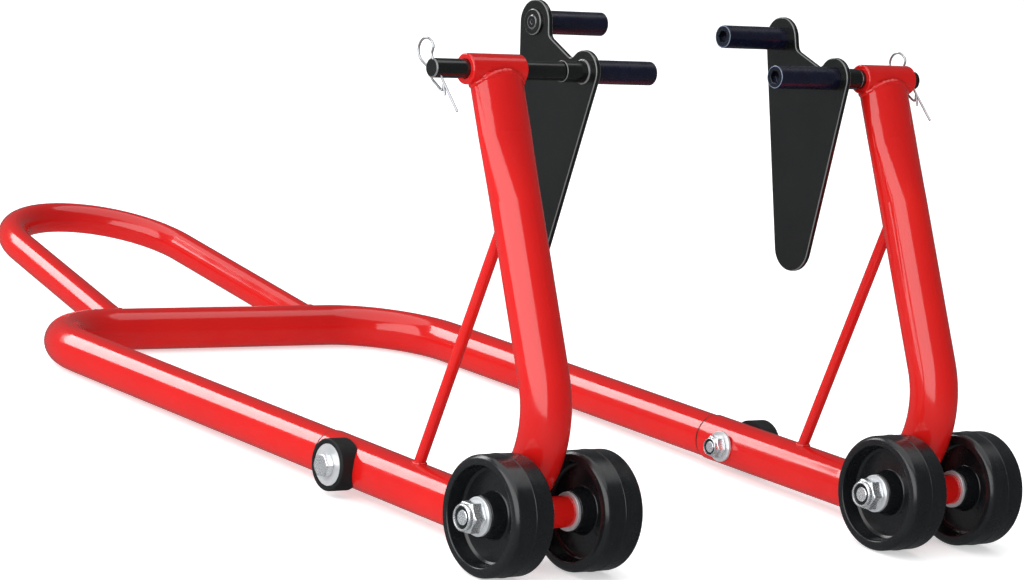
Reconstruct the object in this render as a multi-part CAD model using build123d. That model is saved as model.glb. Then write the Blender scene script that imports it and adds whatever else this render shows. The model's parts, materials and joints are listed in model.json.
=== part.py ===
from build123d import *

import os
from math import acos, atan2, cos, hypot, radians, sin, sqrt, tan

# Motorcycle paddock stand: a bent tube frame on four wheels, with two turning support arms.
# Millimetres. +X is the right-hand side, +Y is the handle end, +Z is up.
# The origin is on the floor, under the middle of the stand.

# ---- Driving dimensions ----

# Wheels
wheel_radius = 50.0
wheel_width = 40.0
hub_width = 37.0
hub_gap = 55.0  # between the two hubs of one pair
wheel_hub_radius = 16.5
dish_floor = 4.5  # from the wheel's middle plane
dish_draft = 1.5
rim_inner_radius = 41.0
shoulder = 3.2
shoulder_fillet = 1.8
tread_crown = 0.3
wheel_clearance = 0.06

# Bushes and axles
bush_radius = 10.0
bush_float = 0.3  # a bush is this much longer than its wheel's hub at each end
bush_bore_clearance = 0.05
axle_radius = 8.0
axle_chamfer = 2.4
axle_washer_radius = 16.0
axle_washer_thickness = 3.0
axle_nut_flats = 24.0
axle_nut_height = 16.0
axle_collar_height = 4.0
axle_collar_radius = 11.2
nut_collar_sink = 2.0  # how far a lock nut's collar runs into its hexagon
nut_collar_fillet = 1.2
axle_end_inset = 1.0  # from the nut's outer face
axle_sleeve_radius = 13.0
sleeve_clearance = 0.2

# Bent tubes
track = 434.0  # between the centre lines of the two side tubes
rear_tube_radius = 20.0
side_tube_radius = 21.0
handle_tube_radius = 15.0
tube_wall = 2.0
bend_radius = 88.5
rear_reach = 777.0  # from the wheel axle back to the cross tube
joint_reach = 250.0  # from the wheel axle back to the joint bolt
seam_reach = 284.0  # from the wheel axle back to the end of the side tube
swage_length = 70.0
swage_gap = 0.15
swage_taper_start = 10.0  # from the seam, inside the rear tube
seam_gap = 0.3
corner_reach = -40.5  # where the side tube's two straight runs would meet
corner_height = 30.4
upright_lean = 26.0  # degrees back from vertical
upright_length = 397.0  # from that corner to the head boss
brace_radius = 5.0
brace_foot_reach = 165.7
brace_top_height = 294.0

# Flattened top of each upright
flat_start = 285.0
flat_full = 341.0
flat_end = 391.0
flat_half_width = 25.0
flat_half_depth = 16.0

# Handle loop
handle_half_root = 115.0
handle_end_radius = 96.0
handle_reach = 304.0  # from the cross tube to the loop's far centre line
handle_rise = 46.0

# Joint between the rear frame and each side tube
joint_bolt_radius = 6.0
joint_bolt_flats = 18.0
joint_bolt_head = 7.5
collar_radius = 22.5
collar_inner_face = 13.0  # from the tube's centre line
collar_outer_face = 32.0
collar_recess = 3.0
large_washer_radius = 18.0
large_washer_thickness = 2.5
small_washer_radius = 14.0
small_washer_thickness = 2.5
joint_nut_height = 12.0
joint_nut_collar_height = 3.0
joint_nut_collar_radius = 8.2
bolt_end_inset = 0.5  # from the nut's outer face
bolt_end_chamfer = 1.5
collar_rim_fillet = 1.5
collar_washer_gap = 0.5

# Head boss and the rod that slides in it
boss_radius = 12.8
boss_outboard = 31.0
boss_inboard = 26.0
rod_radius = 8.0
rod_clearance = 0.08
rod_chamfer = 1.0
boss_chamfer = 1.0
tapped_depth = 26.0
clip_hole_inset = 6.0  # from the rod's outer end
clip_hole_clearance = 0.3
clip_hole_half = 12.0

# Support arms
plate_thickness = 5.0
hub_radius = 9.0
hub_length = 23.0
lower_lobe_radius = 18.0
upper_lobe_radius = 19.0
tail_radius = 21.5
upper_lobe = (71.5, 28.0)  # back and up from the rod
tail = (35.0, -152.0)
notch_fillet = 7.0
pin_radius = 10.0
pin_length = 68.0
pin_end_fillet = 0.8
pin_screw_radius = 6.0
pin_screw_clearance = 0.15
pin_screw_grip = 25.0
pin_head_radius = 9.0
pin_head_height = 12.0
pin_head_clearance = 0.1
pin_head_seat = 0.2
pin_socket_flats = 10.0
pin_socket_depth = 6.0
pivot_float = 0.3
pivot_clearance = 0.06
pin_nut_radius = 11.0
pin_nut_height = 2.5
pin_nut_fillet = 1.2

# How far each rod stands out of the side tube's centre line, outboard and inboard, and how
# its arm is turned, in degrees. The left rod is pulled out to the wide setting and is the
# longer of the two; the right one is pushed home.
arms = {
    "left": {"side": -1, "outboard": 65.0, "plate_inset": 93.0, "turn": 1.3},
    "right": {"side": 1, "outboard": 40.0, "plate_inset": 53.0, "turn": -4.5},
}

# R-clips, in their own plane: along the straight leg, foot positive, and across it
clip_wire_radius = 1.0
clip_tilt = 48.0  # degrees that the straight leg leans from vertical, foot forward
clip_leg = 44.0
clip_ring_radius = 10.0
clip_ring_place = (-20.5, -3.0)
clip_ring_angles = (70, 115, 150, 180, 210, 245, 290)
clip_neck = (-9.5, 0)
clip_wave = [(-6, -9.2), (2, -10.6), (10, -8.6), (18, -3.2), (24, -5.0)]
clip_tail_slope = -0.5

# Small clearances shared by several pieces
weld_gap = 0.05  # a coped end stops this short of what it is welded to
thread_gap = 0.02
bolt_clearance = 0.2
washer_clearance = 0.3
cut_reach = 60.0  # how far a cutting bar runs to each side of a tube's centre line
cut_overlap = 1.0
hex_corner_drop = 0.09  # share of the flats, where a hexagon's corners are turned off
hex_corner_run = 0.17

# ---- Values worked out from them ----

half_track = track / 2
overall_length = wheel_radius + rear_reach + handle_reach + handle_tube_radius
axle_y = wheel_radius - overall_length / 2
axle_z = wheel_radius
cross_y = axle_y + rear_reach
cross_z = rear_tube_radius
corner_y = axle_y + corner_reach
leg_slope = (cross_z - corner_height) / (rear_reach - corner_reach)
lean = radians(upright_lean)
head_y = corner_y + upright_length * sin(lean)
head_z = corner_height + upright_length * cos(lean)
joint_y = axle_y + joint_reach
seam_y = axle_y + seam_reach
sides = {"left": -1, "right": 1}


def leg_z(y):
    """Height of the lower tubes' centre line at a place along the stand."""
    return corner_height + leg_slope * (y - corner_y)


def upright_point(distance, side):
    """A point on an upright's centre line, measured up from the corner of its two runs."""
    y = corner_y + distance * sin(lean)
    return (side * half_track, y, corner_height + distance * cos(lean))


def bar_x(radius, x_start, x_end, y, z):
    """A round bar along X."""
    bar = Cylinder(radius, abs(x_end - x_start))
    return Pos((x_start + x_end) / 2, y, z) * Rot(0, 90, 0) * bar


def ring_x(outer, inner, x_start, x_end, y, z):
    """A round tube along X."""
    return bar_x(outer, x_start, x_end, y, z) - bar_x(inner, x_start, x_end, y, z)


def bar_between(radius, start, end):
    """A round bar from one point to another."""
    run = Vector(*end) - Vector(*start)
    plane = Plane(origin=start, z_dir=run)
    return extrude(plane * Circle(radius), amount=run.length)


def swept(radius, path):
    """A round bar that follows a path."""
    plane = Plane(origin=path @ 0, z_dir=path % 0)
    return sweep(plane * Circle(radius), path=path)


def hex_x(flats, x_near, x_far, y, z):
    """A hexagon along X, with its corners turned off at the far end."""
    height = abs(x_far - x_near)
    corner_radius = flats / sqrt(3)
    blank = Cylinder(corner_radius, height, align=(Align.CENTER, Align.CENTER, Align.MIN))
    top_edge = blank.edges().sort_by(Axis.Z)[-1]
    blank = chamfer(top_edge, hex_corner_drop * flats, hex_corner_run * flats)
    head = extrude(RegularPolygon(corner_radius, 6), amount=height) & blank
    turn = 90 if x_far > x_near else -90
    return Pos(x_near, y, z) * Rot(0, turn, 0) * head


def lock_nut(start, end, flats, collar_radius, collar_height, bore, y, z):
    """A hexagon along X with a round collar, which holds its nylon ring, at its outer end."""
    out = 1 if end > start else -1
    hex_end = end - out * collar_height
    nut = hex_x(flats, start, hex_end, y, z)
    collar = bar_x(collar_radius, hex_end - out * nut_collar_sink, end, y, z)
    rims = collar.edges().filter_by(GeomType.CIRCLE).sort_by(Axis.X)
    collar = fillet(rims[-1 if out > 0 else 0], nut_collar_fillet)
    return nut + collar - bar_x(bore + thread_gap, start, end, y, z)


def cross_cut(radius, side, y, z):
    """A bar along X, long enough to cut right through one side tube."""
    centre = side * half_track
    return bar_x(radius, centre - cut_reach, centre + cut_reach, y, z)


def joint_bolt_hole(side):
    return cross_cut(joint_bolt_radius + bolt_clearance, side, joint_y, leg_z(joint_y))


def save(name, shape):
    export_step(shape, f"parts/{name}.step")


# ---- Frame tubes ----


def side_tube_solid(radius, shrink, side):
    """The outline of one side tube: lower run, bend, upright and flattened top."""
    seam = (side * half_track, seam_y, leg_z(seam_y))
    corner = (side * half_track, corner_y, corner_height)
    path = FilletPolyline(seam, corner, upright_point(flat_start, side), radius=bend_radius)
    up = (0, sin(lean), cos(lean))
    round_end = Plane(origin=upright_point(flat_start, side), x_dir=(1, 0, 0), z_dir=up)
    flat_plane = Plane(origin=upright_point(flat_full, side), x_dir=(1, 0, 0), z_dir=up)
    flat = flat_plane * Ellipse(flat_half_width - shrink, flat_half_depth - shrink)
    squeeze = loft([round_end * Circle(radius), flat])
    return swept(radius, path) + squeeze + extrude(flat, amount=flat_end - flat_full)


def side_tube(side, envelope):
    tube = envelope - side_tube_solid(side_tube_radius - tube_wall, tube_wall, side)
    boss_cut = cross_cut(boss_radius + weld_gap, side, head_y, head_z)
    sleeve_cut = cross_cut(axle_sleeve_radius + weld_gap, side, axle_y, axle_z)
    return tube - boss_cut - sleeve_cut - joint_bolt_hole(side)


def rear_frame_path(start_y):
    half = half_track
    points = [
        (-half, start_y, leg_z(start_y)),
        (-half, cross_y, cross_z),
        (half, cross_y, cross_z),
        (half, start_y, leg_z(start_y)),
    ]
    return FilletPolyline(*points, radius=bend_radius)


def rear_frame_envelope():
    """The U of tube, with a narrowed end on each leg that plugs into a side tube."""
    start_y = seam_y + seam_gap
    solid = swept(rear_tube_radius, rear_frame_path(start_y))
    for side in sides.values():
        plug = side_tube_radius - tube_wall - swage_gap
        tip_y = start_y - swage_length
        tip = (side * half_track, tip_y, leg_z(tip_y))
        end_y = start_y + cut_overlap
        solid += bar_between(plug, tip, (side * half_track, end_y, leg_z(end_y)))
    return solid


def rear_frame_tube(envelope):
    plug_end = seam_y + swage_taper_start
    bore = swept(rear_tube_radius - tube_wall, rear_frame_path(plug_end))
    for side in sides.values():
        narrow = side_tube_radius - swage_gap - 2 * tube_wall
        tip_y = seam_y - swage_length - 2 * cut_overlap
        tip = (side * half_track, tip_y, leg_z(tip_y))
        end_y = plug_end + cut_overlap
        bore += bar_between(narrow, tip, (side * half_track, end_y, leg_z(end_y)))
        bore += joint_bolt_hole(side)
    return envelope - bore


def handle_path():
    """A loop that leaves the cross tube, rises to the rear and ends in a half-round."""
    slant = Plane(
        origin=(0, cross_y, cross_z),
        x_dir=(1, 0, 0),
        z_dir=(0, -handle_rise, handle_reach),
    )
    length = hypot(handle_reach, handle_rise)
    centre_v = length - handle_end_radius
    to_root = hypot(handle_half_root, centre_v)
    spread = acos(handle_end_radius / to_root) - atan2(centre_v, handle_half_root)
    join_u = handle_end_radius * cos(spread)
    join_v = centre_v + handle_end_radius * sin(spread)
    left = Line((-handle_half_root, 0), (-join_u, join_v))
    end = ThreePointArc((-join_u, join_v), (0, length), (join_u, join_v))
    right = Line((join_u, join_v), (handle_half_root, 0))
    return slant * Wire([left, end, right])


def handle_loop(frame_envelope):
    path = handle_path()
    outer = swept(handle_tube_radius, path)
    inner = swept(handle_tube_radius - tube_wall, path)
    grown = bar_x(rear_tube_radius + weld_gap, -half_track, half_track, cross_y, cross_z)
    return outer - inner - grown


def brace(side, tube_envelope):
    foot_y = axle_y + brace_foot_reach
    top_y = corner_y + (brace_top_height - corner_height) * tan(lean)
    foot = Vector(side * half_track, foot_y, leg_z(foot_y) + side_tube_radius)
    top = Vector(side * half_track, top_y, brace_top_height)
    sunk_foot = foot + (foot - top).normalized() * side_tube_radius
    bar = bar_between(brace_radius, tuple(sunk_foot), tuple(top)) - tube_envelope
    return bar.solids().sort_by(SortBy.VOLUME)[-1]


def head_boss(side):
    centre = side * half_track
    outer_x = centre + side * boss_outboard
    inner_x = centre - side * boss_inboard
    body = bar_x(boss_radius, inner_x, outer_x, head_y, head_z)
    body = chamfer(body.edges().filter_by(GeomType.CIRCLE), boss_chamfer)
    return body - bar_x(rod_radius + rod_clearance, inner_x, outer_x, head_y, head_z)


# ---- Joint between the rear frame and a side tube ----


def joint_collar(side, tube_envelope):
    centre, z = side * half_track, leg_z(joint_y)
    inner_x = centre + side * collar_inner_face
    outer_x = centre + side * collar_outer_face
    body = bar_x(collar_radius, inner_x, outer_x, joint_y, z)
    rim = body.edges().filter_by(GeomType.CIRCLE).sort_by(Axis.X)[-1 if side > 0 else 0]
    body = fillet(rim, collar_rim_fillet)
    floor_x = outer_x - side * collar_recess
    body -= bar_x(large_washer_radius + collar_washer_gap, floor_x, outer_x, joint_y, z)
    body -= joint_bolt_hole(side)
    body -= tube_envelope
    return body.solids().sort_by(SortBy.VOLUME)[-1]


def joint_stack():
    """X distances from the tube's centre line, outboard positive, of one joint's fasteners."""
    floor = collar_outer_face - collar_recess
    washer_top = floor + large_washer_thickness
    inner_washer = -(side_tube_radius + weld_gap)
    nut_face = inner_washer - small_washer_thickness
    return {
        "floor": floor,
        "washer_top": washer_top,
        "head_top": washer_top + joint_bolt_head,
        "inner_washer": inner_washer,
        "nut_face": nut_face,
        "nut_end": nut_face - joint_nut_height,
        "bolt_end": nut_face - joint_nut_height + bolt_end_inset,
    }


def joint_bolt(side):
    at, centre, z = joint_stack(), side * half_track, leg_z(joint_y)
    top_x = centre + side * at["washer_top"]
    shank = bar_x(joint_bolt_radius, top_x, centre + side * at["bolt_end"], joint_y, z)
    rims = shank.edges().filter_by(GeomType.CIRCLE).sort_by(Axis.X)
    shank = chamfer(rims[0 if side > 0 else -1], bolt_end_chamfer)
    return shank + hex_x(joint_bolt_flats, top_x, centre + side * at["head_top"], joint_y, z)


def joint_nut(side):
    at, centre, z = joint_stack(), side * half_track, leg_z(joint_y)
    ends = (centre + side * at["nut_face"], centre + side * at["nut_end"])
    collar = (joint_nut_collar_radius, joint_nut_collar_height)
    return lock_nut(*ends, joint_bolt_flats, *collar, joint_bolt_radius, joint_y, z)


def joint_washer(side, radius, start, thickness):
    x = side * (half_track + start)
    far_x = x + side * thickness
    bore = joint_bolt_radius + washer_clearance
    return ring_x(radius, bore, x, far_x, joint_y, leg_z(joint_y))


# ---- Wheels and axles ----

sleeve_half = hub_gap / 2 - bush_float - axle_washer_thickness
hub_outer_half = hub_gap / 2 + hub_width
nut_start = hub_outer_half + bush_float + axle_washer_thickness


def wheel(centre_x):
    """A moulded wheel: rounded tread, deep recess on both faces, hub with a plain bore."""
    rim_half, hub_half = wheel_width / 2, hub_width / 2
    right_half = [
        (rim_half - shoulder, wheel_radius - tread_crown),
        (rim_half, wheel_radius - shoulder),
        (rim_half, rim_inner_radius),
        (dish_floor, rim_inner_radius - dish_draft),
        (dish_floor, wheel_hub_radius + dish_draft),
        (hub_half, wheel_hub_radius),
        (hub_half, bush_radius + wheel_clearance),
    ]
    left_half = [(-x, radius) for x, radius in reversed(right_half)]
    outline = Polyline((0, wheel_radius), *right_half, *left_half, close=True)
    body = revolve(make_face(outline), axis=Axis.X)
    edges = body.edges().filter_by(GeomType.CIRCLE)
    rounded = [
        e for e in edges if e.radius > wheel_radius - 2 * shoulder and abs(e.center().X) > shoulder
    ]
    body = fillet(rounded, shoulder_fillet)
    return Pos(centre_x, axle_y, axle_z) * body


def wheel_bush(centre_x):
    half = hub_width / 2 + bush_float
    bore = axle_radius + bush_bore_clearance
    return ring_x(bush_radius, bore, centre_x - half, centre_x + half, axle_y, axle_z)


def axle_sleeve(side):
    centre = side * half_track
    bore = axle_radius + sleeve_clearance
    ends = (centre - sleeve_half, centre + sleeve_half)
    return ring_x(axle_sleeve_radius, bore, *ends, axle_y, axle_z)


def axle(side):
    centre = side * half_track
    half = nut_start + axle_nut_height - axle_end_inset
    bar = bar_x(axle_radius, centre - half, centre + half, axle_y, axle_z)
    return chamfer(bar.edges().filter_by(GeomType.CIRCLE), axle_chamfer)


def axle_nut(centre_x, out):
    ends = (centre_x + out * nut_start, centre_x + out * (nut_start + axle_nut_height))
    collar = (axle_collar_radius, axle_collar_height)
    return lock_nut(*ends, axle_nut_flats, *collar, axle_radius, axle_y, axle_z)


def axle_washers():
    washers = []
    bore = axle_radius + washer_clearance
    for side in sides.values():
        for out in (-1, 1):
            for start in (sleeve_half, hub_outer_half + bush_float):
                x = side * half_track + out * start
                far_x = x + out * axle_washer_thickness
                washers.append(ring_x(axle_washer_radius, bore, x, far_x, axle_y, axle_z))
    return Compound(children=washers)


# ---- Support arms and their rods ----


def arm_plane(arm, inset):
    """A plane across an arm, `inset` inboard of its side tube: x is back and y is up, turned."""
    turn = radians(arm["turn"])
    origin = (arm["side"] * (half_track - inset), head_y, head_z)
    return Plane(origin=origin, x_dir=(0, cos(turn), sin(turn)), z_dir=(1, 0, 0))


def arm_disc(arm, radius, start, end, place=(0, 0)):
    """A round bar along the arm's axis direction, from one inset to another."""
    disc = arm_plane(arm, start) * Pos(*place) * Circle(radius)
    return extrude(disc, amount=-arm["side"] * (end - start))


def arm_hex(arm, flats, start, end, place=(0, 0)):
    shape = arm_plane(arm, start) * Pos(*place) * RegularPolygon(flats / sqrt(3), 6)
    return extrude(shape, amount=-arm["side"] * (end - start))


def plate_outline():
    lower = Circle(lower_lobe_radius)
    upper = Pos(*upper_lobe) * Circle(upper_lobe_radius)
    foot = Pos(*tail) * Circle(tail_radius)
    front = make_hull(lower.edges() + foot.edges())
    back = make_hull(upper.edges() + foot.edges())
    web = make_face(Polyline((0, 0), upper_lobe, tail, close=True))
    outline = front + back + web
    reach = hypot(*upper_lobe)
    notch = []
    for along in (lower_lobe_radius, reach - upper_lobe_radius):
        near = Vector(upper_lobe[0] * along / reach, upper_lobe[1] * along / reach)
        notch.append(outline.vertices().sort_by_distance(near)[0])
    return fillet(notch, notch_fillet)


def arm_plate(arm):
    inset = arm["plate_inset"]
    outline = plate_outline() - Circle(pin_screw_radius + pivot_clearance)
    outline -= Pos(*upper_lobe) * Circle(pin_screw_radius + bolt_clearance)
    return extrude(arm_plane(arm, inset) * outline, amount=-arm["side"] * plate_thickness)


def arm_hub(arm):
    end = arm["plate_inset"]
    hub = arm_disc(arm, hub_radius, end - hub_length, end)
    return hub - arm_disc(arm, pin_screw_radius + pivot_clearance, end - hub_length, end)


def pin_sleeve(arm, start, place):
    end = start + pin_length
    sleeve = arm_disc(arm, pin_radius, start, end, place)
    edges = sleeve.edges().filter_by(GeomType.CIRCLE).sort_by(Axis.X)
    sleeve = fillet(edges[0 if arm["side"] > 0 else -1], pin_end_fillet)
    head_start = end - pin_head_height - pin_head_seat
    sleeve -= arm_disc(arm, pin_head_radius + pin_head_clearance, head_start, end, place)
    bore = pin_screw_radius + pin_screw_clearance
    return sleeve - arm_disc(arm, bore, start, head_start, place)


def pin_screw(arm, shank_start, pin_start, place):
    end = pin_start + pin_length
    screw = arm_disc(arm, pin_head_radius, end - pin_head_height, end, place)
    screw += arm_disc(arm, pin_screw_radius, shank_start, end - pin_head_height, place)
    return screw - arm_hex(arm, pin_socket_flats, end - pin_socket_depth, end, place)


def upper_pin_nut(arm):
    """A low round nut, welded to the plate, that the upper pin's screw runs into."""
    end = arm["plate_inset"]
    nut = arm_disc(arm, pin_nut_radius, end - pin_nut_height, end, upper_lobe)
    edges = nut.edges().filter_by(GeomType.CIRCLE).sort_by(Axis.X)
    nut = fillet(edges[-1 if arm["side"] > 0 else 0], pin_nut_fillet)
    bore = pin_screw_radius + thread_gap
    return nut - arm_disc(arm, bore, end - pin_nut_height, end, upper_lobe)


def spigot_rod(arm):
    """The rod in the head boss, tapped at its inboard end and drilled for the clip."""
    inner_end = arm["plate_inset"] - hub_length - pivot_float
    rod = arm_disc(arm, rod_radius, -arm["outboard"], inner_end)
    rod = chamfer(rod.edges().filter_by(GeomType.CIRCLE), rod_chamfer)
    rod -= arm_disc(arm, pin_screw_radius + thread_gap, inner_end - tapped_depth, inner_end)
    x, y_run, z_run = clip_frame(arm)
    y_reach, z_reach = clip_hole_half * y_run, clip_hole_half * z_run
    start = (x, head_y - y_reach, head_z - z_reach)
    end = (x, head_y + y_reach, head_z + z_reach)
    return rod - bar_between(clip_wire_radius + clip_hole_clearance, start, end)


def clip_frame(arm):
    """X of the clip's plane and the Y and Z of its straight leg's direction, foot down."""
    x = arm["side"] * (half_track + arm["outboard"] - clip_hole_inset)
    return x, -sin(radians(clip_tilt)), -cos(radians(clip_tilt))


def r_clip(arm):
    """A spring clip: a straight leg through the rod, a ring, and a leg that hugs the rod."""
    x, y_run, z_run = clip_frame(arm)
    plane = Plane(origin=(x, head_y, head_z), x_dir=(0, y_run, z_run), z_dir=(-1, 0, 0))
    ring = [
        Vector(*clip_ring_place) + Vector(clip_ring_radius, 0).rotate(Axis.Z, angle)
        for angle in clip_ring_angles
    ]
    leg = Line((clip_leg, 0), clip_neck)
    bend = Spline(clip_neck, *ring, *clip_wave, tangents=[(-1, 0), (1, clip_tail_slope)])
    return swept(clip_wire_radius, plane * Wire([leg, bend]))


# ---- Write every piece ----

os.makedirs("parts", exist_ok=True)

frame_envelope = rear_frame_envelope()
save("rear_frame_tube", rear_frame_tube(frame_envelope))
save("handle_loop", handle_loop(frame_envelope))

for name, side in sides.items():
    envelope = side_tube_solid(side_tube_radius + weld_gap, -weld_gap, side)
    save(f"{name}_side_tube", side_tube(side, side_tube_solid(side_tube_radius, 0, side)))
    save(f"{name}_brace", brace(side, envelope))
    save(f"{name}_head_boss", head_boss(side))
    save(f"{name}_axle_sleeve", axle_sleeve(side))
    save(f"{name}_axle", axle(side))
    save(f"{name}_joint_collar", joint_collar(side, envelope))
    for place, out in (("outer", side), ("inner", -side)):
        wheel_x = side * half_track + out * (hub_gap + hub_width) / 2
        save(f"{name}_{place}_wheel", wheel(wheel_x))
        save(f"{name}_{place}_bush", wheel_bush(wheel_x))

at = joint_stack()
both = list(sides.values())
nut_places = [(side * half_track, out) for side in both for out in (-1, 1)]
save("axle_nuts", Compound(children=[axle_nut(x, out) for x, out in nut_places]))
save("axle_washers", axle_washers())
save("joint_bolts", Compound(children=[joint_bolt(side) for side in both]))
save("joint_nuts", Compound(children=[joint_nut(side) for side in both]))
large = [joint_washer(s, large_washer_radius, at["floor"], large_washer_thickness) for s in both]
save("joint_large_washers", Compound(children=large))
small = [
    joint_washer(s, small_washer_radius, at["nut_face"], small_washer_thickness) for s in both
]
save("joint_small_washers", Compound(children=small))

for name, arm in arms.items():
    lower_start = arm["plate_inset"] + plate_thickness + pivot_float
    upper_start = arm["plate_inset"] + plate_thickness
    hub_start = arm["plate_inset"] - hub_length
    save(f"{name}_spigot_rod", spigot_rod(arm))
    save(f"{name}_r_clip", r_clip(arm))
    save(f"{name}_lower_pin_sleeve", pin_sleeve(arm, lower_start, (0, 0)))
    grip_start = hub_start - pin_screw_grip
    save(f"{name}_lower_pin_screw", pin_screw(arm, grip_start, lower_start, (0, 0)))
    save(f"{name}_arm_plate", arm_plate(arm))
    save(f"{name}_arm_hub", arm_hub(arm))
    save(f"{name}_upper_pin_sleeve", pin_sleeve(arm, upper_start, upper_lobe))
    nut_end = arm["plate_inset"] - pin_nut_height
    save(f"{name}_upper_pin_screw", pin_screw(arm, nut_end, upper_start, upper_lobe))
    save(f"{name}_upper_pin_nut", upper_pin_nut(arm))
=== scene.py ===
import json
import math
import random

import bmesh
import bpy
from mathutils import Matrix, Vector


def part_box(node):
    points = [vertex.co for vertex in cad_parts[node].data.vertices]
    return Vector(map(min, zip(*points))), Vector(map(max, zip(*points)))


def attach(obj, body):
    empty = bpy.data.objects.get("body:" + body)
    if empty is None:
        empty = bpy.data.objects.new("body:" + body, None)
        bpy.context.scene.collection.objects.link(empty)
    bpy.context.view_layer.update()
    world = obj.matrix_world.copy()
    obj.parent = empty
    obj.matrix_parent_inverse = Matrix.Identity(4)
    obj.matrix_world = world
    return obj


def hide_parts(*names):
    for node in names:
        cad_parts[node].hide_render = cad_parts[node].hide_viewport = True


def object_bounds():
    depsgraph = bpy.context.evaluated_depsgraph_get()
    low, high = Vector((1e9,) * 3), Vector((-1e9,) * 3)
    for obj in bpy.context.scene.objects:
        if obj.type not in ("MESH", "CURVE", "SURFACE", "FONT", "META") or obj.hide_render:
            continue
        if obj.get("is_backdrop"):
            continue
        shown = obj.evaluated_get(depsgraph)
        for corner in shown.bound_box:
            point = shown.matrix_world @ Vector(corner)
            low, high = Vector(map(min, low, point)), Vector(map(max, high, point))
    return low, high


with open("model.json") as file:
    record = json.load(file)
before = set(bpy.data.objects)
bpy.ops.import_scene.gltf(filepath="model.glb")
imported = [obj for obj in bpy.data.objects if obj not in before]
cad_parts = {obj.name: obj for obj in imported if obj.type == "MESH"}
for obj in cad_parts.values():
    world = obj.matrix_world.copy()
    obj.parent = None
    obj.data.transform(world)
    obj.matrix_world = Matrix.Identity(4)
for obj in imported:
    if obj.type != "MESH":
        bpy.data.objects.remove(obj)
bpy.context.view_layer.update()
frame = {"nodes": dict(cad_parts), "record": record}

# Metres in the CAD frame. Lengths below are written in millimetres and multiplied by MM.
MM = 0.001
SIDES = {"left": -1, "right": 1}


# ---- Sizes repeated from the CAD source, in millimetres ----

HALF_TRACK = 217.0
wheel_low, wheel_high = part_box("left_outer_wheel")
AXLE_Y, AXLE_Z = round((wheel_low.y + wheel_high.y) / 2 / MM, 1), 50.0
CROSS_Y, CROSS_Z = AXLE_Y + 777.0, 20.0
CORNER_Y, CORNER_Z = AXLE_Y - 40.5, 30.4
LEG_SLOPE = (CROSS_Z - CORNER_Z) / (CROSS_Y - CORNER_Y)
LEAN = math.radians(26.0)
UPRIGHT_LENGTH, BEND_RADIUS = 397.0, 88.5
HEAD_Y = CORNER_Y + UPRIGHT_LENGTH * math.sin(LEAN)
HEAD_Z = CORNER_Z + UPRIGHT_LENGTH * math.cos(LEAN)
JOINT_Y = AXLE_Y + 250.0
BRACE_FOOT_Y, BRACE_TOP_Z = AXLE_Y + 165.7, 294.0

# Outer radii. The upright is a little slimmer than its tube where the brace meets it.
SIDE_TUBE, CROSS_TUBE, HANDLE_TUBE, BRACE = 21.0, 20.0, 15.0, 5.0
UPRIGHT_AT_BRACE = 20.4
SLEEVE_RADIUS, HUB_RADIUS = 13.0, 9.0

# The handle loop: how far back and up it reaches, its legs' spacing, and its end's radius.
HANDLE_REACH, HANDLE_RISE, HANDLE_HALF_ROOT, HANDLE_END = 304.0, 46.0, 115.0, 96.0

# Each wheel, from its middle: half widths of rim and hub, and the dished face between them.
RIM_HALF, HUB_HALF, DISH_FLOOR = 20.0, 18.5, 4.5

# Lock nuts, from their inner face at `start` from the side tube's middle. `mouth` and
# `ring_depth` are how far the threads and the nylon ring lie inside the outer end.
AXLE_NUT = {
    "start": 67.8, "flats": 24.0, "height": 16.0, "collar_radius": 11.2, "collar_height": 4.0,
    "wall": 2.0, "mouth": 2.7, "bore": 8.02, "ring_bore": 6.1, "ring_depth": 1.35,
}
JOINT_NUT = {
    "start": 23.6, "flats": 18.0, "height": 12.0, "collar_radius": 8.2, "collar_height": 3.0,
    "wall": 1.0, "mouth": 2.1, "bore": 6.02, "ring_bore": 4.95, "ring_depth": 0.9,
}
# A joint bolt. Its shank stops `inset` short of its nut's outer end.
BOLT = {"flats": 18.0, "head": 7.5, "radius": 6.0, "chamfer": 1.5, "inset": 0.5}

# Solid turned shapes stop this far from their axis, so they have no pinched middle point.
CORE = 0.02


def leg_point(y):
    """Height of the side tube's centre line on its straight run."""
    return CORNER_Z + LEG_SLOPE * (y - CORNER_Y)


def outer_x(low, high, side):
    """The outboard end of a box, in millimetres."""
    return (low.x if side < 0 else high.x) / MM


def angles(count, start=0.0):
    """Evenly spaced angles round a full turn, from `start` of a step."""
    return [2 * math.pi * (k + start) / count for k in range(count)]


# ---- Camera ----

# Solved from the straight tubes and the wheels: azimuth, elevation and roll in degrees.
CAMERA_EYE = (-2338.73, AXLE_Y - 2495.72, 816.25)
CAMERA_ANGLES = (-39.534, 10.199, 7.446)
CAMERA_LENS, CAMERA_SENSOR = 147.13, 36.0


def make_camera():
    """The photograph's eye point and turn."""
    azimuth, elevation, roll = (math.radians(a) for a in CAMERA_ANGLES)
    flat = math.cos(elevation)
    back = Vector((math.sin(azimuth) * flat, -math.cos(azimuth) * flat, math.sin(elevation)))
    right = (-back).cross(Vector((0, 0, 1))).normalized()
    up = right.cross(-back).normalized()
    x_axis = math.cos(roll) * right + math.sin(roll) * up
    y_axis = -math.sin(roll) * right + math.cos(roll) * up
    turn = Matrix((x_axis, y_axis, back)).transposed().to_4x4()
    data = bpy.data.cameras.new("camera")
    data.sensor_width = CAMERA_SENSOR
    data.lens = CAMERA_LENS
    data.clip_start = 0.05
    data.clip_end = 200.0
    camera = bpy.data.objects.new("camera", data)
    bpy.context.scene.collection.objects.link(camera)
    camera.matrix_world = Matrix.Translation(Vector(CAMERA_EYE) * MM) @ turn
    bpy.context.scene.camera = camera


make_camera()


# ---- Materials ----

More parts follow.
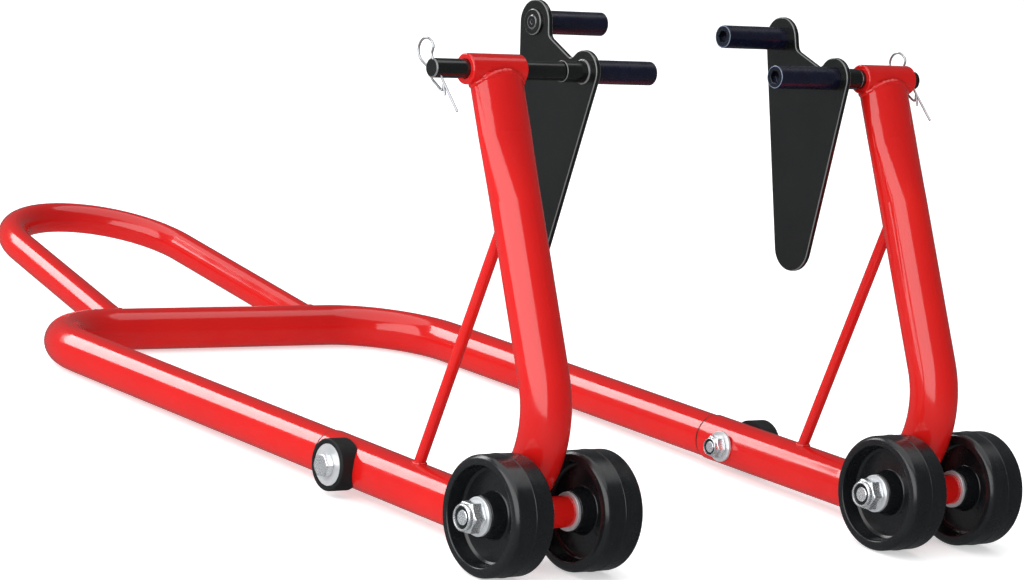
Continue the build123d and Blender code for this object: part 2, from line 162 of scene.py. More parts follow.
class Nodes:
    """Short calls for building one material's node tree."""

    def __init__(self, name):
        self.material = bpy.data.materials.new(name)
        self.material.use_nodes = True
        self.tree = self.material.node_tree
        self.tree.nodes.clear()
        output = self.tree.nodes.new("ShaderNodeOutputMaterial")
        self.shader = self.tree.nodes.new("ShaderNodeBsdfPrincipled")
        self.tree.links.new(self.shader.outputs[0], output.inputs[0])
        self.place = self.tree.nodes.new("ShaderNodeTexCoord").outputs["Object"]

    def node(self, kind, values=None, **settings):
        made = self.tree.nodes.new(kind)
        for key, value in settings.items():
            setattr(made, key, value)
        for key, value in (values or {}).items():
            made.inputs[key].default_value = value
        return made

    def link(self, output, socket):
        self.tree.links.new(output, socket)

    def feed(self, name, output):
        """Links an output to one of the shader's own sockets."""
        self.link(output, self.shader.inputs[name])

    def set(self, **values):
        """Sets constants on the shader's own sockets, with _ for a space in a name."""
        for key, value in values.items():
            self.shader.inputs[key.replace("_", " ")].default_value = value

    def stretched(self, scale):
        mapping = self.node("ShaderNodeMapping", {"Scale": scale})
        self.link(self.place, mapping.inputs["Vector"])
        return mapping.outputs[0]

    def noise(self, scale, detail, roughness=0.5, place=None):
        values = {"Scale": scale, "Detail": detail, "Roughness": roughness}
        made = self.node("ShaderNodeTexNoise", values)
        self.link(place or self.place, made.inputs["Vector"])
        return made.outputs["Fac"]

    def remap(self, output, low, high, start=0.3, end=0.7):
        values = {"From Min": start, "From Max": end, "To Min": low, "To Max": high}
        made = self.node("ShaderNodeMapRange", values)
        self.link(output, made.inputs["Value"])
        return made.outputs[0]

    def blend(self, factor, first, second):
        """Mixes two colours, each an output or three numbers."""
        made = self.node("ShaderNodeMix", data_type="RGBA")
        self.link(factor, made.inputs[0])
        for socket, value in ((made.inputs[6], first), (made.inputs[7], second)):
            if hasattr(value, "links"):
                self.link(value, socket)
            else:
                socket.default_value = (*value, 1.0)
        return made.outputs[2]

    def bump(self, height, depth, strength, under=None):
        made = self.node("ShaderNodeBump", {"Strength": strength, "Distance": depth})
        self.link(height, made.inputs["Height"])
        if under is not None:
            self.link(under, made.inputs["Normal"])
        return made.outputs[0]

    def along_x(self):
        """How far the surface's normal leans toward the X axis, 0 to 1."""
        split = self.node("ShaderNodeSeparateXYZ")
        self.link(self.node("ShaderNodeTexCoord").outputs["Normal"], split.inputs[0])
        size = self.node("ShaderNodeMath", operation="ABSOLUTE")
        self.link(split.outputs["X"], size.inputs[0])
        return size.outputs[0]


def powder_coat(name, colours, peel_depth, gloss, specular, coat, edge_highlight=None):
    """Baked powder paint: colour drift, orange peel, dust specks, and a painted highlight along
    edges.

    `edge_highlight` is the colour of the painted highlight on a plate's edges, whose normals lie
    between X and square to it.
    """
    made = Nodes(name)
    drift = made.remap(made.noise(scale=9.0, detail=3.0), 0.0, 1.0, start=0.35, end=0.65)
    paint = made.blend(drift, colours[0], colours[1])
    specks = made.remap(made.noise(scale=900.0, detail=1.0), 0.0, 0.35, start=0.74, end=0.80)
    paint = made.blend(specks, paint, colours[2])
    if edge_highlight:
        # Painted highlight: faces whose normals lean part way toward X are mixed toward the paler
        # colour.
        lean = made.along_x()
        edge = made.node("ShaderNodeMath", operation="MULTIPLY")
        made.link(made.remap(lean, 0.0, 1.0, start=0.12, end=0.35), edge.inputs[0])
        made.link(made.remap(lean, 1.0, 0.0, start=0.88, end=0.97), edge.inputs[1])
        paint = made.blend(edge.outputs[0], paint, edge_highlight)
    made.feed("Base Color", paint)
    made.feed("Roughness", made.remap(made.noise(scale=60.0, detail=4.0), *gloss))
    peel = made.bump(made.noise(scale=330.0, detail=1.5, roughness=0.4), peel_depth, 0.5)
    sag = made.noise(scale=55.0, detail=2.0)
    made.feed("Normal", made.bump(sag, peel_depth * 2.2, 0.35, under=peel))
    made.set(Coat_Weight=coat, Coat_Roughness=0.03, Specular_IOR_Level=specular, IOR=1.5)
    return made.material


def moulded_plastic(name, colours, gloss, grain, coat=0.0, end_highlight=None):
    """Injection-moulded plastic: satin skin, fine grain, faint flow marks, and ends facing along X
    painted paler as a painted highlight.
    """
    made = Nodes(name)
    streaks = made.stretched((2.2, 1.0, 1.0))
    flow = made.noise(scale=24.0, detail=3.0, roughness=0.6, place=streaks)
    skin = made.blend(made.remap(flow, 0.0, 1.0), colours[0], colours[1])
    if end_highlight:
        # Painted highlight: faces that point along X are mixed toward a paler colour.
        end_highlight_share = made.remap(made.along_x(), 0.0, 1.0, start=0.80, end=0.97)
        skin = made.blend(end_highlight_share, skin, end_highlight)
    made.feed("Base Color", skin)
    made.feed("Roughness", made.remap(made.noise(scale=95.0, detail=5.0), *gloss))
    fine = made.bump(made.noise(scale=1900.0, detail=2.0), grain, 0.45)
    sink = made.noise(scale=70.0, detail=2.0)
    made.feed("Normal", made.bump(sink, grain * 3.0, 0.3, under=fine))
    made.set(Coat_Weight=coat, Coat_Roughness=0.08, Specular_IOR_Level=0.52, IOR=1.5)
    return made.material


def soft_rubber(name, colours, gloss, grain):
    """Matt rubber: patches of tone and a fine grain."""
    made = Nodes(name)
    patches = made.remap(made.noise(scale=40.0, detail=4.0), 0.0, 1.0)
    made.feed("Base Color", made.blend(patches, colours[0], colours[1]))
    made.feed("Roughness", made.remap(made.noise(scale=140.0, detail=4.0), *gloss))
    made.feed("Normal", made.bump(made.noise(scale=1300.0, detail=3.0), grain, 0.5))
    made.set(Specular_IOR_Level=0.22, IOR=1.5)
    return made.material


def plated_metal(name, colours, gloss, scratches, stretch=(1.0, 1.0, 1.0), metallic=1.0):
    """Plated or drawn metal: clouded tone, dull spots and fine scratches."""
    made = Nodes(name)
    cloud = made.remap(made.noise(scale=85.0, detail=4.0), 0.0, 1.0)
    tone = made.blend(cloud, colours[0], colours[1])
    spots = made.remap(made.noise(scale=620.0, detail=2.0), 0.0, 0.4, start=0.62, end=0.75)
    made.feed("Base Color", made.blend(spots, tone, colours[2]))
    place = made.stretched(stretch)
    scratch = made.noise(scale=1500.0, detail=3.0, roughness=0.7, place=place)
    made.feed("Roughness", made.remap(scratch, *gloss))
    made.feed("Normal", made.bump(scratch, scratches, 0.4))
    made.set(Metallic=metallic)
    return made.material


# Colours are linear red, green and blue. Gloss is the lowest and highest roughness, and
# peel_depth, grain and scratches are the depth of the surface's relief in metres.
FINISHES = {
    "red_powder_coat": (powder_coat, {
        "colours": ((0.54, 0.0092, 0.0068), (0.50, 0.0075, 0.0074), (0.60, 0.026, 0.020)),
        "peel_depth": 0.00004, "gloss": (0.10, 0.20), "specular": 0.42, "coat": 0.30,
    }),
    "black_powder_coat": (powder_coat, {
        "colours": (
            (0.0030, 0.0036, 0.0034), (0.0048, 0.0056, 0.0053), (0.022, 0.023, 0.023),
        ),
        "peel_depth": 0.00007, "gloss": (0.14, 0.26), "specular": 0.45, "coat": 0.45,
        # A painted highlight along the plates' edges: the paint there is made paler.
        "edge_highlight": (0.120, 0.124, 0.126),
    }),
    "navy_pin_sleeve": (moulded_plastic, {
        "colours": ((0.0014, 0.0022, 0.0110), (0.0028, 0.0042, 0.0170)),
        # The pins' ends facing along X are painted paler: a painted highlight on their end rings.
        "gloss": (0.20, 0.32), "grain": 0.00003, "coat": 0.15, "end_highlight": (0.20, 0.25, 0.36),
    }),
    "black_oxide_steel": (plated_metal, {
        "colours": ((0.085, 0.095, 0.125), (0.055, 0.062, 0.085), (0.030, 0.034, 0.048)),
        "gloss": (0.20, 0.34), "scratches": 0.00003,
    }),
    "black_wheel_plastic": (moulded_plastic, {
        "colours": ((0.0046, 0.0053, 0.0062), (0.0072, 0.0082, 0.0094)),
        "gloss": (0.18, 0.30), "grain": 0.00004,
    }),
    "black_rubber": (soft_rubber, {
        "colours": ((0.006, 0.0065, 0.007), (0.010, 0.0108, 0.0118)),
        "gloss": (0.46, 0.66), "grain": 0.00005,
    }),
    "zinc_plated_steel": (plated_metal, {
        "colours": ((0.88, 0.90, 0.91), (0.76, 0.79, 0.82), (0.55, 0.57, 0.60)),
        "gloss": (0.16, 0.34), "scratches": 0.00003, "metallic": 0.85,
    }),
    "zinc_plated_washer": (plated_metal, {
        "colours": ((0.74, 0.75, 0.76), (0.62, 0.64, 0.66), (0.44, 0.46, 0.48)),
        "gloss": (0.26, 0.44), "scratches": 0.00004, "metallic": 0.60,
    }),
    "spring_wire": (plated_metal, {
        "colours": ((0.48, 0.49, 0.51), (0.37, 0.38, 0.40), (0.22, 0.23, 0.25)),
        "gloss": (0.16, 0.30), "scratches": 0.00001, "metallic": 0.80,
    }),
    "bush_steel": (plated_metal, {
        "colours": ((0.62, 0.63, 0.64), (0.50, 0.51, 0.53), (0.30, 0.31, 0.33)),
        "gloss": (0.22, 0.38), "scratches": 0.00002, "stretch": (0.15, 1.0, 1.0),
    }),
}
MATERIALS = {name: make(name, **settings) for name, (make, settings) in FINISHES.items()}


# ---- Mesh helpers ----

def finish_piece(name, mesh, body, slot, sharp_deg=42.0, weighted=False, look=None):
    """Shades, paints and hangs a new mesh on its body. `look` is a finish for it alone."""
    for polygon in mesh.polygons:
        polygon.use_smooth = True
    mesh.set_sharp_from_angle(angle=math.radians(sharp_deg))
    mesh.materials.clear()
    mesh.materials.append(MATERIALS[look or slot])
    piece = bpy.data.objects.new(name, mesh)
    bpy.context.scene.collection.objects.link(piece)
    if weighted:
        piece.modifiers.new("weighted", "WEIGHTED_NORMAL").keep_sharp = True
    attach(piece, body)
    return piece


def piece_from(name, points, faces, body, slot, sharp_deg):
    """A piece from points in millimetres."""
    mesh = bpy.data.meshes.new(name)
    mesh.from_pydata([Vector(p) * MM for p in points], [], faces)
    bm = bmesh.new()
    bm.from_mesh(mesh)
    bmesh.ops.recalc_face_normals(bm, faces=bm.faces)
    bm.to_mesh(mesh)
    bm.free()
    return finish_piece(name, mesh, body, slot, sharp_deg)


# A CAD mesh is cleaned before its edges are rounded: metres, then degrees.
MERGE_DISTANCE, FLAT_DEG, SHARP_DEG = 8e-5, 0.15, 32.0


def refined(node, width, clamp=True, look=None):
    """A copy of a CAD node with its sharp edges rounded over, which stands for the node."""
    source = frame["nodes"][node].data
    mesh = bpy.data.meshes.new(node + "_finished")
    mesh.from_pydata(
        [v.co for v in source.vertices], [], [list(p.vertices) for p in source.polygons]
    )
    bm = bmesh.new()
    bm.from_mesh(mesh)
    bmesh.ops.remove_doubles(bm, verts=bm.verts, dist=MERGE_DISTANCE)
    bmesh.ops.dissolve_limit(
        bm, angle_limit=math.radians(FLAT_DEG), verts=bm.verts, edges=bm.edges
    )
    sharp = [
        e for e in bm.edges
        if e.is_manifold and e.calc_face_angle(0.0) > math.radians(SHARP_DEG)
    ]
    bmesh.ops.bevel(
        bm, geom=sharp, offset=width * MM, offset_type="OFFSET",
        segments=3, profile=0.5, affect="EDGES", clamp_overlap=clamp,
    )
    bmesh.ops.recalc_face_normals(bm, faces=bm.faces)
    bm.to_mesh(mesh)
    bm.free()
    piece = finish_piece(
        node + "_finished", mesh, node_body[node], node_slot[node], weighted=True, look=look
    )
    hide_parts(node)


def rounded(corners):
    """A closed outline from (x, y, radius) corners, each corner turned into an arc."""
    steps = 4
    outline = []
    count = len(corners)
    for i, (x, y, radius) in enumerate(corners):
        here = Vector((x, y))
        if radius <= 0:
            outline.append(here)
            continue
        before = (Vector(corners[i - 1][:2]) - here).normalized()
        after = (Vector(corners[(i + 1) % count][:2]) - here).normalized()
        half = before.angle(after) / 2
        start = here + before * (radius / math.tan(half))
        end = here + after * (radius / math.tan(half))
        centre = here + (before + after).normalized() * (radius / math.sin(half))
        from_centre, to_centre = start - centre, end - centre
        swing = from_centre.angle_signed(to_centre)
        for k in range(steps + 1):
            turn = -swing * k / steps
            c, s = math.cos(turn), math.sin(turn)
            outline.append(
                centre + Vector((from_centre.x * c - from_centre.y * s,
                                 from_centre.x * s + from_centre.y * c))
            )
    return outline


def stitched(rings, size, shift=0):
    """Faces between rings of `size` points. The last ring meets the first `shift` points on."""
    faces = []
    for ring in range(rings):
        a, b = ring * size, (ring + 1) % rings * size
        turn = shift if ring == rings - 1 else 0
        for i in range(size):
            k = (i + 1) % size
            faces.append((a + i, a + k, b + (k + turn) % size, b + (i + turn) % size))
    return faces


def turned(outline, place, out, segments):
    """Points and faces of an outline of (along, radius) turned round the X direction."""
    x, y, z = place
    outline = [Vector(p) for p in outline]
    points = []
    for angle in angles(segments):
        c, s = math.cos(angle), math.sin(angle)
        points += [(x + out * p.x, y + p.y * c, z + p.y * s) for p in outline]
    return points, stitched(segments, len(outline))


def joined(parts):
    """Several (points, faces) sets as one."""
    points, faces = [], []
    for more_points, more_faces in parts:
        base = len(points)
        points += more_points
        faces += [tuple(base + i for i in face) for face in more_faces]
    return points, faces


# ---- CAD nodes: better materials, and some with their edges rounded over ----

node_body = {
    node: body for body, nodes in frame["record"]["behaviour"]["bodies"].items() for node in nodes
}
node_slot = {}
for name, node in frame["nodes"].items():
    node_slot[name] = node.material_slots[0].material.name.split(".")[0]
    node.material_slots[0].material = MATERIALS[node_slot[name]]

EDGE_WIDTHS = {
    "arm_plate": 1.1,
    "arm_hub": 0.8,
    "head_boss": 0.5,
    "spigot_rod": 0.35,
    "upper_pin_nut": 0.25,
    "lower_pin_screw": 0.3,
    "upper_pin_screw": 0.3,
}
WASHER_EDGE = 0.5
for side_name in SIDES:
    for part, width in EDGE_WIDTHS.items():
        # The plate's small facets would hold a clamped bevel to almost nothing.
        refined(f"{side_name}_{part}", width, clamp=part != "arm_plate")
for node in ("axle_washers", "joint_large_washers", "joint_small_washers"):
    refined(node, WASHER_EDGE, look="zinc_plated_washer")


# ---- Wheels ----

# Low round buttons on each face: how many, from what share of a step, and their sizes.
WHEEL_MARKS = (
    {"count": 9, "start": 0.25, "face": RIM_HALF, "ring": 43.9, "radius": 0.75, "proud": 0.22},
    {"count": 4, "start": 0.4, "face": DISH_FLOOR, "ring": 23.6, "radius": 2.1, "proud": 0.25},
)


def wheel_outline():
    """The moulding's section, one half mirrored: (along the axle, radius, corner radius)."""
    right = [
        (0.75, 49.62, 0.2),
        (RIM_HALF - 3.2, 49.5, 3.4),
        (RIM_HALF, 46.6, 3.0),
        (RIM_HALF, 41.0, 1.2),
        (DISH_FLOOR + 1.6, 39.4, 1.2),
        (DISH_FLOOR, 37.2, 1.2),
        (DISH_FLOOR, 19.2, 1.8),
        (HUB_HALF, 16.5, 0.9),
        (HUB_HALF, 12.4, 0.3),
        (HUB_HALF - 0.5, 11.8, 0.3),
        (HUB_HALF - 0.1, 10.9, 0.2),
        (HUB_HALF - 0.1, 10.06, 0.2),
    ]
    ridge = [(-0.3, 50.0, 0.2), (0.3, 50.0, 0.2)]
    left = [(-x, r, radius) for x, r, radius in reversed(right)]
    return rounded(ridge + right + left)


def button_outline(face, radius, proud):
    """A low button that stands on a wheel's face, with its foot sunk in it."""
    foot, top = face - 0.4, face + proud
    return [
        (foot, CORE), (foot, radius), (face + proud * 0.6, radius), (top, radius * 0.8),
        (top, CORE),
    ]


def moulding_marks(centre, out):
    """Small raised dots round the rim's face, and four ejector-pin marks on the dish floor."""
    marks = []
    for mark in WHEEL_MARKS:
        outline = button_outline(mark["face"], mark["radius"], mark["proud"])
        for angle in angles(mark["count"], mark["start"]):
            y = AXLE_Y + mark["ring"] * math.cos(angle)
            z = AXLE_Z + mark["ring"] * math.sin(angle)
            marks.append(turned(outline, (centre, y, z), out, segments=20))
    return marks


for side_name in SIDES:
    for row in ("outer", "inner"):
        node = f"{side_name}_{row}_wheel"
        low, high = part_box(node)
        centre = (low.x + high.x) / 2 / MM
        parts = [turned(wheel_outline(), (centre, AXLE_Y, AXLE_Z), 1, segments=160)]
        for out in (-1, 1):
            parts += moulding_marks(centre, out)
        wheel = piece_from(
            node + "_moulding", *joined(parts), node, "black_wheel_plastic", sharp_deg=50.0
        )
        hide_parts(node)


# ---- Lock nuts and joint bolts ----

# A hexagon's end face is round, and its corners are cut back from it at this slope.
END_FACE_SHARE, CORNER_SLOPE = 0.955, math.tan(math.radians(62))
# Where a hexagon's sides get a row of points near each end.
SIDE_ROWS = [0.0, 0.15, 0.5, 1.0, 1.6, 2.4]
# A nut's rolled lip: depth below its outer end, and share of the collar's wall inward.
LIP = ((1.7, 0.05), (0.8, 0.15), (0.25, 0.4), (0.0, 0.7), (0.05, 0.87), (0.35, 0.97))
BOLT_TURNS = {"left": 0.35, "right": 0.8}


def hexagon(flats, length, rows, place, out, turn):
    """A hexagon along X, then rows of (along, radius) that carry its end round to its start."""
    x, y, z = place
    apothem = flats / 2
    face_radius = apothem * END_FACE_SHARE
    sides = SIDE_ROWS + [length / 2] + [length - along for along in reversed(SIDE_ROWS)]
    rows = [(along, None) for along in sides] + rows
    segments = 144
    points = []
    for along, fixed in rows:
        for angle in angles(segments):
            reach = fixed
            if fixed is None:
                off = (math.degrees(angle) + 30) % 60 - 30
                flat = apothem / math.cos(math.radians(off))
                end = min(along, length - along)
                reach = min(flat, face_radius + end * CORNER_SLOPE)
            points.append((x + out * along, y + reach * math.cos(angle + turn),
                           z + reach * math.sin(angle + turn)))
    return points, stitched(len(rows), segments)


def lock_nut(kind, place, out, turn):
    """A hexagon whose corners are turned off in arcs, with a rolled collar at its outer end."""
    height, radius, wall = kind["height"], kind["collar_radius"], kind["wall"]
    hex_length = height - kind["collar_height"]
    mouth = height - kind["mouth"]
    rows = [(hex_length + 0.02, radius), (hex_length + 0.5, radius)]
    rows += [(height - depth, radius - inward * wall) for depth, inward in LIP]
    rows += [(mouth, radius - wall), (mouth, kind["bore"]), (0.0, kind["bore"])]
    return hexagon(kind["flats"], hex_length, rows, place, out, turn)


def nylon_ring(kind, place, out):
    """The insert that shows inside a lock nut's collar."""
    back = kind["height"] - kind["mouth"] + 0.1
    front = kind["height"] - kind["ring_depth"]
    inner, outer = kind["ring_bore"], kind["collar_radius"] - kind["wall"] - 0.01
    outline = [(back, inner, 0.0), (back, outer, 0.0), (front, outer, 0.25), (front, inner, 0.2)]
    return turned(rounded(outline), place, out, segments=64)


def bolt_head(place, out, turn):
    """A hexagon with a round land on its end, a little dished in the middle."""
    height, land = BOLT["head"], BOLT["flats"] * 0.45
    dish = height - 0.35
    rows = [(height, land - 0.4), (dish, land - 1.6), (dish, CORE), (0.0, CORE)]
    return hexagon(BOLT["flats"], height, rows, place, out, turn)


def bolt_shank(length, place, out):
    """A plain round bar with a chamfered end."""
    radius, chamfer = BOLT["radius"], BOLT["chamfer"]
    outline = [
        (0.0, CORE), (0.0, radius), (length - chamfer, radius), (length, radius - chamfer),
        (length, CORE),
    ]
    return turned(outline, place, out, segments=64)


joint_z = leg_point(JOINT_Y)
dice = random.Random(11)
for side_name, side in SIDES.items():
    for row, kind, out, y, z in (
        ("outer_axle", AXLE_NUT, side, AXLE_Y, AXLE_Z),
        ("inner_axle", AXLE_NUT, -side, AXLE_Y, AXLE_Z),
        ("joint", JOINT_NUT, -side, JOINT_Y, joint_z),
    ):
        place = (side * HALF_TRACK + out * kind["start"], y, z)
        name = f"{side_name}_{row}_lock_nut"
        nut = piece_from(
            name, *lock_nut(kind, place, out, dice.uniform(0, 1)),
            "frame", "zinc_plated_steel", sharp_deg=35.0,
        )
        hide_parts("joint_nuts" if kind is JOINT_NUT else "axle_nuts")
        piece_from(
            name + "_insert", *nylon_ring(kind, place, out),
            "frame", "black_wheel_plastic", sharp_deg=40.0,
        )

for side_name, side in SIDES.items():
    start = outer_x(*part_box("joint_bolts"), side) - side * BOLT["head"]
    end = side * (HALF_TRACK - JOINT_NUT["start"] - JOINT_NUT["height"] + BOLT["inset"])
    place = (start, JOINT_Y, joint_z)
    head = bolt_head(place, side, BOLT_TURNS[side_name])
    shank = bolt_shank(abs(start - end), place, -side)
    bolt = piece_from(
        side_name + "_joint_bolt", *joined([head, shank]),
        "frame", "zinc_plated_steel", sharp_deg=35.0,
    )
    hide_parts("joint_bolts")


# ---- Painted-over ends of the upper pin screws ----

# (outward, radius, corner radius), from the outer face of the pin's nut.
PAINT_OUTLINE = [
    (-0.5, CORE, 0.0), (0.22, CORE, 0.0), (0.22, 1.6, 0.1), (0.45, 2.2, 0.3),
    (0.45, 4.9, 0.3), (0.1, 5.6, 0.2), (-0.2, 6.4, 0.1), (-0.5, 6.4, 0.0),
]
for side_name, side in SIDES.items():
    low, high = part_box(side_name + "_upper_pin_nut")
    place = (outer_x(low, high, side), *((low[i] + high[i]) / 2 / MM for i in (1, 2)))
    piece_from(
        side_name + "_upper_pin_paint",
        *turned(rounded(PAINT_OUTLINE), place, side, segments=48),
        side_name + "_arm", "black_powder_coat", sharp_deg=50.0,
    )


# ---- Painted shadow: a dark ring in the seam where the rear tube runs into each side tube ----

# (along the rear tube, radius), from just past the side tube's mouth.
SEAM_SHADOW_OUTLINE = ((0.0, 20.02), (0.0, 20.8), (0.9, 20.5), (2.2, 20.02))
SEAM_SHADOW_GAP = 0.05
for side_name, side in SIDES.items():
    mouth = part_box(side_name + "_side_tube")[1].y / MM
    along = Vector((0.0, 1.0, LEG_SLOPE)).normalized()
    up = Vector((0.0, -along.z, along.y))
    middle = Vector((side * HALF_TRACK, mouth + SEAM_SHADOW_GAP, leg_point(mouth)))
    segments = 96
    points = []
    for angle in angles(segments):
        spoke = Vector((1, 0, 0)) * math.cos(angle) + up * math.sin(angle)
        points += [middle + spoke * radius + along * ahead for ahead, radius in SEAM_SHADOW_OUTLINE]
    faces = stitched(segments, len(SEAM_SHADOW_OUTLINE))
    # A dark ring that stands in for the shadow in the seam's gap.
    piece_from(side_name + "_seam_shadow_ring", points, faces, "frame", "black_rubber", sharp_deg=40.0)


# ---- Welds ----

WELD_SPACING, WELD_SIDES = 0.45, 12

# The seam under a head boss is an oval that follows the boss's round underside.
SEAM_HALF_LENGTH, SEAM_HALF_DEPTH, SEAM_DROP, SEAM_CURVE = 24.4, 13.4, 13.2, 0.88


def even(path):
    """The same closed path with points at even spacing."""
    loop = path + [path[0]]
    lengths = [0.0]
    for a, b in zip(loop, loop[1:]):
        lengths.append(lengths[-1] + (b - a).length)
    count = max(24, int(lengths[-1] / WELD_SPACING))
    made, i = [], 0
    for k in range(count):
        target = lengths[-1] * k / count
        while lengths[i + 1] < target:
            i += 1
        share = (target - lengths[i]) / (lengths[i + 1] - lengths[i])
        made.append(loop[i].lerp(loop[i + 1], share))
    return made


def ripples(radius, seed, ripple, pitch):
    """A bead radius that swells once for each step of the weld, a little unevenly."""
    dice = random.Random(seed)
    waves = [
        (dice.uniform(2, 9), dice.uniform(0, 6.28), dice.uniform(0.02, 0.05)) for _ in range(4)
    ]

    def at(share_round, travelled):
        step = (travelled / pitch) % 1.0
        swell = ripple * (1.0 - step) ** 2
        slow = sum(size * math.sin(2 * math.pi * round(turns) * share_round + start)
                   for turns, start, size in waves)
        return radius(share_round) * (0.94 + swell + slow)

    return at


def bead(path, radius_at):
    """A closed rope of weld along a closed path, rippled as it was laid down."""
    points = []
    count = len(path)
    travelled = 0.0
    across = None
    for i, here in enumerate(path):
        ahead = (path[(i + 1) % count] - path[i - 1]).normalized()
        if across is None:
            across = ahead.orthogonal().normalized()
        else:
            across = (across - ahead * across.dot(ahead)).normalized()
            travelled += (here - path[i - 1]).length
        over = ahead.cross(across)
        radius = radius_at(i / count, travelled)
        for angle in angles(WELD_SIDES):
            sideways, upward = radius * math.cos(angle), radius * math.sin(angle)
            points.append(here + across * sideways + over * upward)
    # The ring may come round turned, so the last one joins the first at its nearest point.
    last = points[(count - 1) * WELD_SIDES]
    shift = min(range(WELD_SIDES), key=lambda k: (last - points[k]).length)
    return points, stitched(count, WELD_SIDES, shift)


def weld(name, path, radius, seed, ripple=0.10, pitch=2.1,
         body="frame", slot="red_powder_coat"):
    """A bead along a seam. The radius is a number, or a function of the share gone round."""
    size = radius if callable(radius) else (lambda share_round: radius)
    points, faces = bead(even(path), ripples(size, seed, ripple, pitch))
    piece_from(name, points, faces, body, slot, sharp_deg=75.0)


def onto_tube(start, direction, radius, tube_point, tube_direction, tube_radius):
    """Where a round bar along `direction` first meets a straight round tube."""
    direction = Vector(direction).normalized()
    axis = Vector(tube_direction).normalized()
    first = direction.orthogonal().normalized()
    second = direction.cross(first)
    flat_direction = direction - axis * direction.dot(axis)
    path = []
    for angle in angles(90):
        aside, above = radius * math.cos(angle), radius * math.sin(angle)
        begin = Vector(start) + first * aside + second * above
        away = begin - Vector(tube_point)
        away -= axis * away.dot(axis)
        # The distance along the bar solves a * d * d + b * d + c = 0.
        a = flat_direction.length_squared
        b = 2 * away.dot(flat_direction)
        c = away.length_squared - tube_radius ** 2
        root = b * b - 4 * a * c
        distance = (-b - math.sqrt(max(root, 0.0))) / (2 * a)
        path.append(begin + direction * distance)
    return path


def bend_distance(y, z):
    """How far a point is from the side tube's centre line near its bend, in the YZ plane."""
    corner = Vector((CORNER_Y, CORNER_Z))
    run = Vector((1.0, LEG_SLOPE)).normalized()
    rise = Vector((math.sin(LEAN), math.cos(LEAN)))
    half = run.angle(rise) / 2
    centre = corner + (run + rise).normalized() * (BEND_RADIUS / math.sin(half))
    return abs((Vector((y, z)) - centre).length - BEND_RADIUS)


def handle_leg(side):
    """Root and direction of one leg of the handle loop."""
    length = math.hypot(HANDLE_REACH, HANDLE_RISE)
    centre = length - HANDLE_END
    spread = (math.acos(HANDLE_END / math.hypot(HANDLE_HALF_ROOT, centre))
              - math.atan2(centre, HANDLE_HALF_ROOT))
    back = Vector((0, HANDLE_REACH, HANDLE_RISE)) / length
    join = back * (centre + HANDLE_END * math.sin(spread))
    join.x = side * HANDLE_END * math.cos(spread)
    root = Vector((side * HANDLE_HALF_ROOT, 0, 0))
    return Vector((0, CROSS_Y, CROSS_Z)) + root, (join - root).normalized()


def handle_seam(side):
    """Where a leg of the handle loop meets the cross tube."""
    root, direction = handle_leg(side)
    return onto_tube(root + direction * 120, -direction, HANDLE_TUBE,
                     (0, CROSS_Y, CROSS_Z), (1, 0, 0), CROSS_TUBE)


def brace_seams(x):
    """The brace's seams on the side tube's run and on its upright."""
    foot = Vector((x, BRACE_FOOT_Y, leg_point(BRACE_FOOT_Y) + SIDE_TUBE))
    top = Vector((x, CORNER_Y + (BRACE_TOP_Z - CORNER_Z) * math.tan(LEAN), BRACE_TOP_Z))
    corner = (x, CORNER_Y, CORNER_Z)
    upright = (0, math.sin(LEAN), math.cos(LEAN))
    return (
        onto_tube(top, foot - top, BRACE, corner, (0, 1, LEG_SLOPE), SIDE_TUBE),
        onto_tube(foot, top - foot, BRACE, corner, upright, UPRIGHT_AT_BRACE),
    )


def boss_seam(x):
    """The oval under a head boss, on top of the pressed upright."""
    along = Vector((0, math.sin(LEAN), math.cos(LEAN)))
    depth = Vector((0, -math.cos(LEAN), math.sin(LEAN)))
    head = Vector((x, HEAD_Y, HEAD_Z))
    path = []
    for angle in angles(120):
        d = SEAM_HALF_DEPTH * math.sin(angle)
        down = math.sqrt(SEAM_DROP ** 2 - (SEAM_CURVE * d) ** 2)
        sideways = Vector((SEAM_HALF_LENGTH * math.cos(angle), 0, 0))
        path.append(head + sideways + depth * d - along * down)
    return path


def boss_weld_radius(share_round):
    """Thicker on the front and back of the boss than at its ends."""
    return 2.3 + 0.9 * math.sin(2 * math.pi * share_round) ** 2


def sleeve_seam(x, out):
    """Where an axle sleeve comes out of one side of the bend."""
    path = []
    for angle in angles(90):
        y = AXLE_Y + SLEEVE_RADIUS * math.cos(angle)
        z = AXLE_Z + SLEEVE_RADIUS * math.sin(angle)
        reach = math.sqrt(max(SIDE_TUBE ** 2 - bend_distance(y, z) ** 2, 1.0))
        path.append(Vector((x + out * reach, y, z)))
    return path


def hub_seam(side_name, side):
    """Where an arm's hub meets the back of its plate."""
    x = outer_x(*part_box(side_name + "_arm_hub"), -side)
    return [
        Vector((x, HEAD_Y + HUB_RADIUS * math.cos(a), HEAD_Z + HUB_RADIUS * math.sin(a)))
        for a in angles(72)
    ]


for side_name, side in SIDES.items():
    x = side * HALF_TRACK
    foot_seam, top_seam = brace_seams(x)
    weld(side_name + "_handle_weld", handle_seam(side), 2.0, seed=21)
    weld(side_name + "_brace_foot_weld", foot_seam, 1.8, seed=22)
    weld(side_name + "_brace_top_weld", top_seam, 1.6, seed=23)
    weld(side_name + "_boss_weld", boss_seam(x), boss_weld_radius, seed=24, ripple=0.12, pitch=4.5)
    for row, out in (("outer", side), ("inner", -side)):
        weld(f"{side_name}_{row}_sleeve_weld", sleeve_seam(x, out), 1.6, seed=25)
    weld(side_name + "_hub_weld", hub_seam(side_name, side), 1.7, seed=26,
         body=side_name + "_arm", slot="black_powder_coat")


# ---- Floor, light and world ----

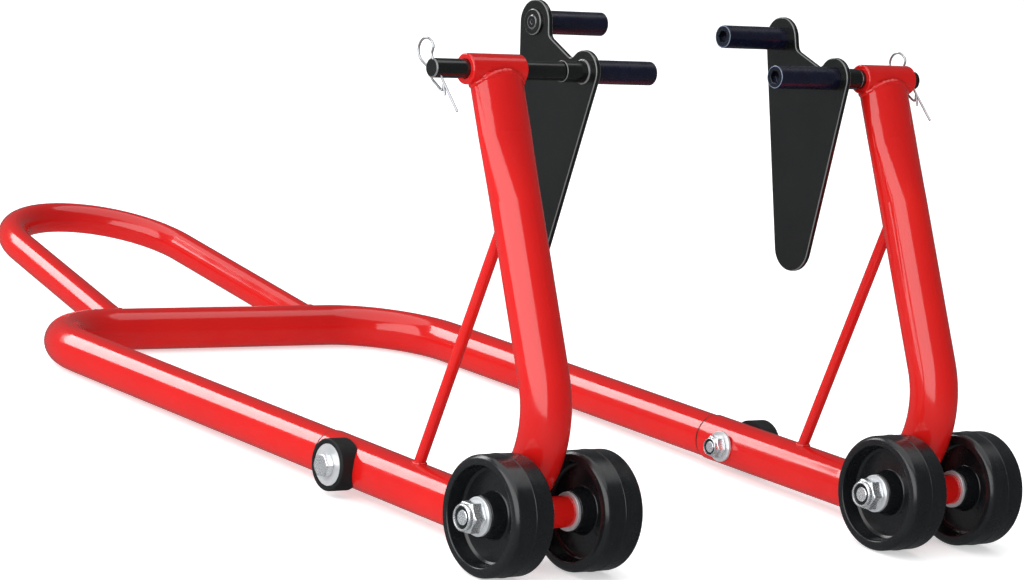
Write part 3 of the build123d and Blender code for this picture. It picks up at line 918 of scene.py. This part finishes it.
def make_floor():
    """A pale disc just under the wheels. It glows a little, so it stays white to its edge."""
    bm = bmesh.new()
    bmesh.ops.create_circle(bm, cap_ends=True, radius=40.0, segments=96)
    mesh = bpy.data.meshes.new("studio_floor")
    bm.to_mesh(mesh)
    bm.free()
    floor = bpy.data.objects.new("studio_floor", mesh)
    floor.location.z = -0.0003
    bpy.context.scene.collection.objects.link(floor)
    made = Nodes("studio_floor")
    tone = made.remap(made.noise(scale=1.2, detail=2.0), 0.0, 1.0)
    made.feed("Base Color", made.blend(tone, (0.86, 0.865, 0.87), (0.88, 0.882, 0.885)))
    made.set(Roughness=0.85, Specular_IOR_Level=0.2)
    made.set(Emission_Color=(1.0, 1.0, 1.0, 1.0), Emission_Strength=0.5)
    mesh.materials.append(made.material)
    floor.visible_glossy = False
    floor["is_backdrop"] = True


def soft_box(name, place, size, radiance, target, lean=0.0):
    """A rectangular light panel that faces its target. Radiance sets how bright it mirrors."""
    data = bpy.data.lights.new(name, "AREA")
    data.shape = "RECTANGLE"
    data.size, data.size_y = size
    data.energy = radiance * math.pi * size[0] * size[1]
    light = bpy.data.objects.new(name, data)
    bpy.context.scene.collection.objects.link(light)
    light.location = place
    aim = Vector(target) - Vector(place)
    light.rotation_euler = aim.to_track_quat("-Z", "Y").to_euler()
    light.rotation_euler.rotate_axis("Z", math.radians(lean))
    light.visible_camera = False


def overhead_sun(strength, spread_deg):
    """Light from straight above, the same all over the floor."""
    data = bpy.data.lights.new("overhead_sun", "SUN")
    data.energy = strength
    data.angle = math.radians(spread_deg)
    light = bpy.data.objects.new("overhead_sun", data)
    bpy.context.scene.collection.objects.link(light)
    light.location = (0.0, 0.0, 3.0)


def make_world():
    """Soft, slightly cool surroundings, brighter on the left than on the right."""
    world = bpy.data.worlds.new("studio")
    world.use_nodes = True
    nodes, links = world.node_tree.nodes, world.node_tree.links
    split = nodes.new("ShaderNodeSeparateXYZ")
    links.new(nodes.new("ShaderNodeTexCoord").outputs["Generated"], split.inputs[0])
    fade = nodes.new("ShaderNodeMapRange")
    values = {"From Min": -0.6, "From Max": 0.6, "To Min": 0.26, "To Max": 0.12}
    for socket, value in values.items():
        fade.inputs[socket].default_value = value
    links.new(split.outputs["X"], fade.inputs["Value"])
    links.new(fade.outputs[0], nodes["Background"].inputs["Strength"])
    nodes["Background"].inputs["Color"].default_value = (0.95, 0.97, 1.0, 1.0)
    bpy.context.scene.world = world


make_floor()
soft_box("rear_left_panel", place=(-1.45, 3.2, 2.1), size=(2.3, 1.3), radiance=7.5,
         target=(0.0, 0.0, 0.0), lean=-41.0)
soft_box("left_panel", place=(-3.1, -1.7, 1.85), size=(6.2, 3.5), radiance=2.85,
         target=(0.0, -1.7, 1.85))
overhead_sun(1.7, spread_deg=80.0)
make_world()
bpy.context.scene.view_settings.view_transform = "Standard"

low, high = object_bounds()
